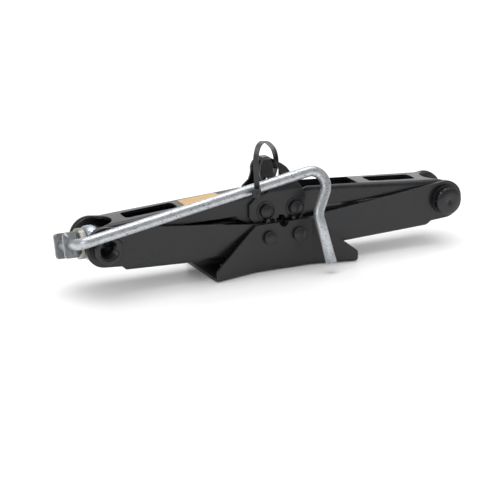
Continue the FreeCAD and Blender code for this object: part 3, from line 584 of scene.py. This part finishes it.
class Bench:
    """Edit-mode work on one piece at a time."""

    @staticmethod
    def clear() -> None:
        """Deselects everything."""
        if bpy.context.object is not None and bpy.context.object.mode != "OBJECT":
            bpy.ops.object.mode_set(mode="OBJECT")
        bpy.ops.object.select_all(action="DESELECT")

    @staticmethod
    def take(piece: bpy.types.Object) -> None:
        """Makes one piece active and the only one selected."""
        Bench.clear()
        bpy.context.view_layer.objects.active = piece
        piece.select_set(True)

    @staticmethod
    def added(name: str) -> bpy.types.Object:
        """Names the primitive that was just added and returns it."""
        piece = bpy.context.object
        piece.name = name
        piece.data.name = name
        return piece

    @staticmethod
    def settle(piece: bpy.types.Object) -> None:
        """Moves a piece's place into its mesh."""
        Bench.take(piece)
        bpy.ops.object.transform_apply(location=True, rotation=True, scale=True)

    @staticmethod
    def pick_faces(piece: bpy.types.Object, wanted: Callable[[bpy.types.MeshPolygon], bool]) -> None:
        """Selects the faces that satisfy a test and enters edit mode in face mode.

        Args:
            piece: the piece.
            wanted: a test on a face.
        """
        Bench.take(piece)
        bpy.ops.object.mode_set(mode="EDIT")
        bpy.ops.mesh.select_mode(type="FACE")
        bpy.ops.mesh.select_all(action="DESELECT")
        bpy.ops.object.mode_set(mode="OBJECT")
        for face in piece.data.polygons:
            face.select = wanted(face)
        bpy.ops.object.mode_set(mode="EDIT")

    @staticmethod
    def close(piece: bpy.types.Object, angle: float = 35.0) -> None:
        """Leaves edit mode, faces the surface outward and smooths it up to an angle.

        Args:
            piece: the piece.
            angle: edges sharper than this, in degrees, stay sharp.
        """
        Bench.take(piece)
        bpy.ops.object.mode_set(mode="EDIT")
        bpy.ops.mesh.select_all(action="SELECT")
        bpy.ops.mesh.remove_doubles(threshold=1e-6)
        bpy.ops.mesh.normals_make_consistent(inside=False)
        bpy.ops.object.mode_set(mode="OBJECT")
        bpy.ops.object.shade_smooth_by_angle(angle=math.radians(angle))
        Bench.clear()

    @staticmethod
    def apply(piece: bpy.types.Object) -> None:
        """Applies every modifier of a piece."""
        Bench.take(piece)
        for modifier in list(piece.modifiers):
            bpy.ops.object.modifier_apply(modifier=modifier.name)

    @staticmethod
    def bevel(piece: bpy.types.Object, width: float, segments: int = 2, angle: float = 35.0) -> None:
        """Rounds a piece's sharp edges.

        Args:
            piece: the piece.
            width: the round's width in metres.
            segments: how many strips it has.
            angle: edges sharper than this, in degrees, are rounded.
        """
        made = piece.modifiers.new("eased", "BEVEL")
        made.width = width
        made.segments = segments
        made.limit_method = "ANGLE"
        made.angle_limit = math.radians(angle)
        Bench.apply(piece)

    @staticmethod
    def copy_of(source: bpy.types.Object, name: str) -> bpy.types.Object:
        """A copy of an object with its own mesh."""
        Bench.take(source)
        bpy.ops.object.duplicate(linked=False)
        made = Bench.added(name)
        made.parent = None
        for key in [k for k in made.keys() if k.startswith("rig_")]:
            del made[key]
        return made

    @staticmethod
    def welded_copy(node: bpy.types.Object, name: str, angle: float = 30.0) -> bpy.types.Object:
        """A copy of a CAD node with its triangles joined and its round faces smooth.

        Args:
            node: the CAD node's object.
            name: the copy's name.
            angle: edges sharper than this, in degrees, stay sharp.

        Returns:
            The copy.
        """
        made = Bench.copy_of(node, name)
        Bench.close(made, angle)
        return made


# ------------------------------------------------------------------ sub-assemblies


@dataclass
class Assembly:
    """What every sub-assembly shares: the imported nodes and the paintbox."""

    nodes: dict[str, bpy.types.Object]
    paint: Paintbox
    pieces: list[bpy.types.Object] = field(default_factory=list)

    def keep(self, piece: bpy.types.Object, body: str, finish: Finish) -> None:
        """Dresses a new piece and lets it ride on a body.

        Args:
            piece: the piece.
            body: the body's name.
            finish: its finish.
        """
        self.paint.dress(piece, finish)
        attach(piece, body)
        self.pieces.append(piece)

    def dress(self, names: Iterable[str], finish: Finish) -> None:
        """Puts a finish on CAD nodes that stay.

        Args:
            names: the nodes.
            finish: their finish.
        """
        for name in names:
            self.paint.dress(self.nodes[name], finish)

    def turned(self, name: str, body: str, finish: Finish) -> bpy.types.Object:
        """Replaces a turned or bent node by a smooth copy of it.

        Args:
            name: the node.
            body: the body it belongs to.
            finish: its finish.

        Returns:
            The copy.
        """
        piece = Bench.welded_copy(self.nodes[name], name + "_smooth")
        self.keep(piece, body, finish)
        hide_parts(name)
        return piece

    def report(self) -> None:
        """Logs each new piece."""
        for piece in self.pieces:
            log.info("%s: %s, %d faces", type(self).__name__, piece.name, len(piece.data.polygons))


@dataclass
class Linkage(Assembly):
    """The foot, the four arms and their pins."""

    def build(self) -> None:
        """Dresses the pressed sheets and smooths the pins."""
        self.dress(["base_foot"], Finish.FOOT)
        self.dress(["lower_left_arm", "lower_right_arm", "upper_left_arm", "upper_right_arm"], Finish.ARMS)
        for name in ("base_left_pin", "base_right_pin"):
            self.turned(name, "base", Finish.PINS)


@dataclass
class Saddle(Assembly):
    """The saddle, its pins and the strap round it."""

    ring_inner: float = 8.0 * MM
    ring_outer: float = 9.6 * MM
    ring_rise: float = 0.8 * MM

    def pressed_ring(self, name: str, pin: str, side: int) -> bpy.types.Object:
        """The raised lip that is pressed into a wall round a pin.

        Args:
            name: the piece's name.
            pin: the pin's node.
            side: -1 for the near wall, 1 for the far one.

        Returns:
            The lip.
        """
        low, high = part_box(pin)
        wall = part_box("saddle")[1 if side > 0 else 0][1]
        centre = ((low[0] + high[0]) / 2, wall, (low[2] + high[2]) / 2)
        Bench.clear()
        bpy.ops.mesh.primitive_cylinder_add(
            vertices=64, radius=self.ring_outer, depth=2 * self.ring_rise, location=centre,
            rotation=(math.pi / 2, 0, 0))
        lip = Bench.added(name)
        Bench.settle(lip)
        Bench.pick_faces(lip, lambda face: len(face.vertices) > 4)
        bpy.ops.mesh.inset(thickness=self.ring_outer - self.ring_inner, depth=0)
        bpy.ops.mesh.delete(type="FACE")
        bpy.ops.mesh.select_all(action="DESELECT")
        bpy.ops.mesh.select_mode(type="EDGE")
        bpy.ops.mesh.select_non_manifold()
        bpy.ops.mesh.bridge_edge_loops()
        Bench.close(lip)
        Bench.bevel(lip, 0.3 * MM, 3)
        Bench.close(lip, 40)
        return lip

    def build(self) -> None:
        """Dresses the saddle and adds what is pressed round its pins."""
        self.dress(["saddle"], Finish.SADDLE)
        for pin in ("saddle_left_pin", "saddle_right_pin"):
            self.turned(pin, "saddle_head", Finish.PINS)
            for side, word in ((-1, "near"), (1, "far")):
                lip = self.pressed_ring(f"{pin}_{word}_lip", pin, side)
                self.keep(lip, "saddle_head", Finish.SADDLE)
        tie = self.turned("cable_tie", "saddle_head", Finish.TIE)
        tie.name = "strap_tie"


@dataclass
class ScrewEnd(Assembly):
    """The trunnions, the thrust bearing, the yoke and the lead screw."""

    pitch: float = 2.5 * MM
    depth: float = 1.15 * MM
    steps: int = 20
    spigot: float = 3.7 * MM
    plain_end: float = 4 * MM
    core_lap: float = 0.02 * MM
    chamfer: float = 0.8 * MM

    def thread(self) -> bpy.types.Object:
        """The screw's thread: one flank profile turned along the bar.

        Returns:
            The thread with its plain ends.
        """
        low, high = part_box("lead_screw")
        radius = (high[1] - low[1]) / 2
        centre = Vector((0, 0, (low[2] + high[2]) / 2))
        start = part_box("thrust_cup")[1][0]
        stop = high[0] - self.plain_end
        turns = int((stop - start) / self.pitch)
        root = radius - self.depth
        flank = self.pitch * 0.15
        flat = self.pitch / 2 - flank
        Bench.clear()
        bpy.ops.mesh.primitive_plane_add(size=1 * MM, location=(start, 0, root))
        thread = Bench.added("lead_screw_thread")
        Bench.settle(thread)
        bpy.ops.object.mode_set(mode="EDIT")
        bpy.ops.mesh.select_all(action="SELECT")
        bpy.ops.mesh.merge(type="CENTER")
        for run, rise in ((flat, 0), (flank, self.depth), (flat, 0), (flank, -self.depth)):
            bpy.ops.mesh.extrude_region_move(TRANSFORM_OT_translate={"value": (run, 0, rise)})
        bpy.ops.object.mode_set(mode="OBJECT")
        turned = thread.modifiers.new("turns", "SCREW")
        turned.axis = "X"
        turned.screw_offset = self.pitch
        turned.iterations = turns
        turned.steps = self.steps
        turned.render_steps = self.steps
        turned.use_merge_vertices = True
        Bench.apply(thread)
        thread.location = centre
        Bench.settle(thread)
        core = self.bar("lead_screw_core", low[0], high[0], root + self.core_lap, centre)
        plain = self.bar("lead_screw_shank", low[0] + self.spigot, start + self.pitch, radius, centre)
        tip = self.bar("lead_screw_tip", stop - self.pitch, high[0], radius, centre)
        Bench.close(thread, 30)
        Bench.take(thread)
        for part in (core, plain, tip):
            part.select_set(True)
        bpy.context.view_layer.objects.active = thread
        bpy.ops.object.join()
        Bench.clear()
        return thread

    def bar(self, name: str, start: float, stop: float, radius: float, centre: Vector) -> bpy.types.Object:
        """A chamfered length of the screw.

        Args:
            name: the piece's name.
            start: its left end, along X.
            stop: its right end.
            radius: its radius.
            centre: a point on its axis.

        Returns:
            The length.
        """
        Bench.clear()
        bpy.ops.mesh.primitive_cylinder_add(
            vertices=48, radius=radius, depth=stop - start, rotation=(0, math.pi / 2, 0),
            location=((start + stop) / 2, centre.y, centre.z))
        made = Bench.added(name)
        Bench.settle(made)
        Bench.pick_faces(made, lambda face: len(face.vertices) > 4)
        bpy.ops.mesh.bevel(offset=self.chamfer, segments=2, affect="EDGES")
        Bench.close(made)
        return made

    def build(self) -> None:
        """Dresses the nodes and threads the screw."""
        self.turned("bearing_trunnion", "bearing_block", Finish.TRUNNIONS)
        self.turned("nut_trunnion", "nut_block", Finish.TRUNNIONS)
        self.turned("bearing_trunnion_washers", "bearing_block", Finish.WASHERS)
        self.turned("nut_trunnion_washers", "nut_block", Finish.WASHERS)
        self.turned("thrust_cup", "bearing_block", Finish.CUP)
        self.turned("thrust_bearing", "bearing_block", Finish.BEARING)
        self.turned("thrust_ring", "screw", Finish.RING)
        self.turned("screw_collar", "screw", Finish.COLLAR)
        self.turned("yoke", "screw", Finish.YOKE)
        thread = self.thread()
        self.keep(thread, "screw", Finish.THREAD)
        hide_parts("lead_screw")


@dataclass
class Crank(Assembly):
    """The bent bar that turns the screw."""

    def build(self) -> None:
        """Smooths the bar."""
        self.turned("crank_handle", "crank", Finish.ROD)


@dataclass
class Labels(Assembly):
    """The sticker on the left upper arm."""

    def build(self) -> None:
        """Dresses the sticker."""
        self.dress(["plain_sticker"], Finish.STICKER)


# ------------------------------------------------------------------ studio


@dataclass(frozen=True)
class Softbox:
    """A rectangular lamp that faces the jack."""

    name: str
    place: tuple[float, float, float]
    aim: tuple[float, float, float]
    width: float
    depth: float
    power: float

    def build(self) -> None:
        """Adds the lamp."""
        data = bpy.data.lights.new(self.name, "AREA")
        data.shape = "RECTANGLE"
        data.size = self.width
        data.size_y = self.depth
        data.energy = self.power
        lamp = bpy.data.objects.new(self.name, data)
        lamp.location = self.place
        heading = Vector(self.aim) - Vector(self.place)
        lamp.rotation_euler = heading.to_track_quat("-Z", "Y").to_euler()
        bpy.context.scene.collection.objects.link(lamp)


@dataclass
class Studio:
    """The floor, the lamps and the camera."""

    azimuth: float = -26.658
    elevation: float = 16.379
    distance: float = 1.70318
    aim: tuple[float, float, float] = (0.0, 0.0, 0.045)
    lens: float = 131.55
    shift: tuple[float, float] = (-0.04452, -0.06866)
    floor_size: float = 14.0
    air_camera: float = 1.0
    air_diffuse: float = 0.80
    air_gloss: float = 0.42

    def floor(self) -> None:
        """A pale floor with a slight sheen."""
        Bench.clear()
        bpy.ops.mesh.primitive_plane_add(size=self.floor_size, location=(0, 0, -0.0002))
        ground = Bench.added("studio_floor")
        Bench.settle(ground)
        sheet = MaterialBuilder("studio_paper")
        sheet.fix(Roughness=0.32, Specular_IOR_Level=0.28)
        sheet.shader.inputs["Base Color"].default_value = (0.86, 0.86, 0.865, 1.0)
        ground.data.materials.append(sheet.material)
        Bench.clear()

    def surroundings(self) -> None:
        """A white room that lights the jack softly."""
        world = bpy.data.worlds.new("studio_air")
        world.use_nodes = True
        tree = world.node_tree
        back = tree.nodes["Background"]
        back.inputs["Color"].default_value = (1.0, 1.0, 1.0, 1.0)
        seen = tree.nodes.new("ShaderNodeLightPath")
        mirrored = tree.nodes.new("ShaderNodeMapRange")
        mirrored.inputs["To Min"].default_value = self.air_diffuse
        mirrored.inputs["To Max"].default_value = self.air_gloss
        tree.links.new(seen.outputs["Is Glossy Ray"], mirrored.inputs["Value"])
        level = tree.nodes.new("ShaderNodeMapRange")
        level.inputs["To Max"].default_value = self.air_camera
        tree.links.new(mirrored.outputs["Result"], level.inputs["To Min"])
        tree.links.new(seen.outputs["Is Camera Ray"], level.inputs["Value"])
        tree.links.new(level.outputs["Result"], back.inputs["Strength"])
        bpy.context.scene.world = world

    def lamps(self) -> None:
        """An overhead softbox, a low one behind and a side fill."""
        Softbox("overhead", (0.0, 0.25, 1.9), (0.0, 0.0, 0.0), 2.6, 1.8, 34.0).build()
        Softbox("behind", (0.75, 1.75, 0.55), (0.0, 0.0, 0.05), 2.0, 1.0, 5.5).build()
        Softbox("left_fill", (-1.9, -0.8, 0.9), (-0.1, 0.0, 0.05), 1.0, 1.0, 6.0).build()

    def camera(self) -> None:
        """The camera, to the left of the near side and a little above it."""
        data = bpy.data.cameras.new("studio_camera")
        data.lens = self.lens
        data.sensor_width = 36.0
        data.shift_x, data.shift_y = self.shift
        made = bpy.data.objects.new("studio_camera", data)
        turn, lift = math.radians(self.azimuth), math.radians(self.elevation)
        outward = Vector((math.sin(turn) * math.cos(lift), -math.cos(turn) * math.cos(lift), math.sin(lift)))
        made.location = Vector(self.aim) + outward * self.distance
        made.rotation_euler = (-outward).to_track_quat("-Z", "Y").to_euler()
        bpy.context.scene.collection.objects.link(made)
        bpy.context.scene.camera = made

    def build(self) -> None:
        """Sets up everything round the jack."""
        self.camera()
        self.floor()
        self.surroundings()
        self.lamps()
        bpy.context.scene.view_settings.view_transform = "Standard"


def main() -> None:
    """Dresses the jack and sets up the studio."""
    logging.basicConfig(level=logging.INFO, format="%(name)s: %(message)s")
    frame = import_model()
    Studio().build()
    paint = Paintbox()
    nodes = frame["nodes"]
    for kind in (Linkage, Saddle, ScrewEnd, Crank, Labels):
        assembly = kind(nodes, paint)
        assembly.build()
        assembly.report()


if __name__ == "__main__":
    main()
